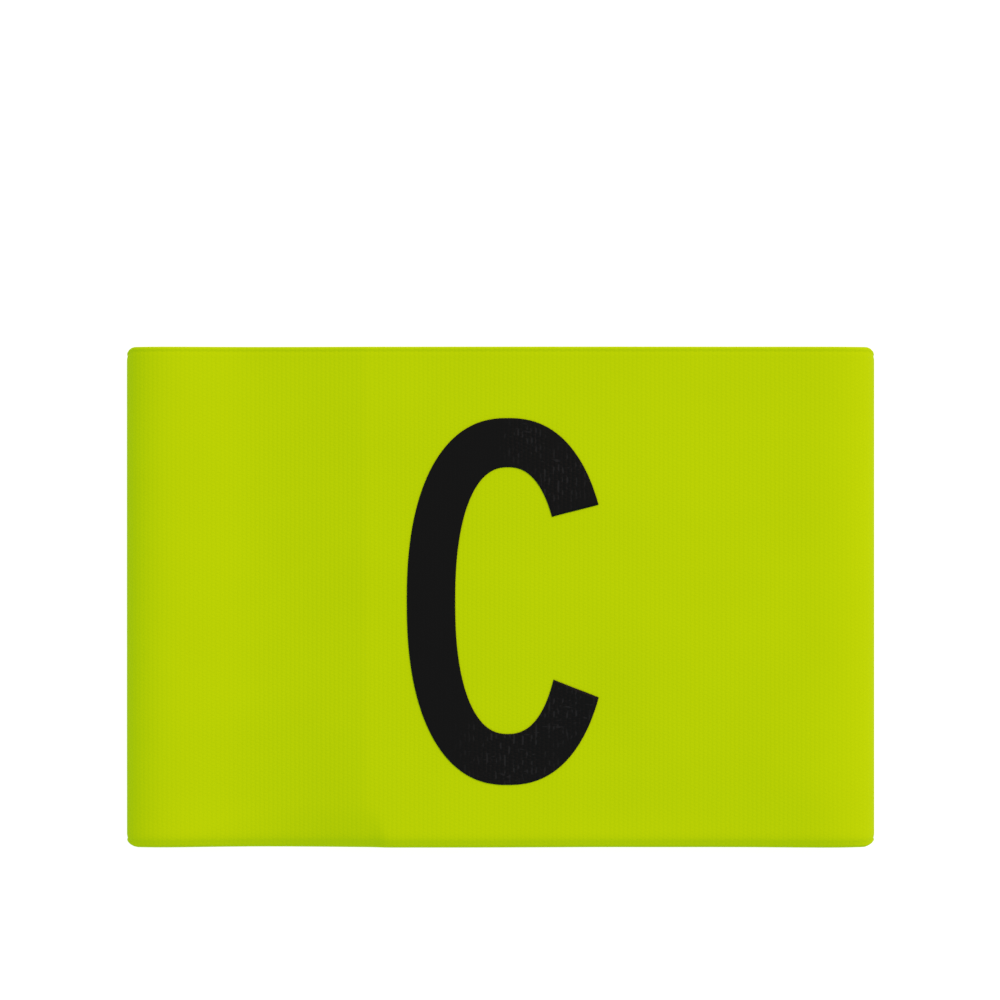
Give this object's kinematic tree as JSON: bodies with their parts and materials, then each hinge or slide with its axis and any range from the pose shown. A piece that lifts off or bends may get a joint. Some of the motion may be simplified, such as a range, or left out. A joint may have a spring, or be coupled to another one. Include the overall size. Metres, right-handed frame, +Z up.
{
  "type": "captain armband",
  "caption": "Elastic captain's armband lying flat: a closed loop of lime knit with a plain printed C on its front, open for the arm from edge to edge.",
  "frame": {"origin": "middle of the underside, on the surface that the armband lies on", "axes": "+X across the flat armband from fold to fold, to the right of the letter; +Y up the letter, along the arm; +Z up, out of the front"},
  "size_m": [0.135, 0.0902, 0.0104],
  "materials": {
    "elastic_knit": "matte lime elastic knit",
    "print_film": "matte black heat-pressed print film"
  },
  "bodies": {
    "root": {"elastic_band": "elastic_knit", "letter_c_print": "print_film"}
  },
  "joints": []
}
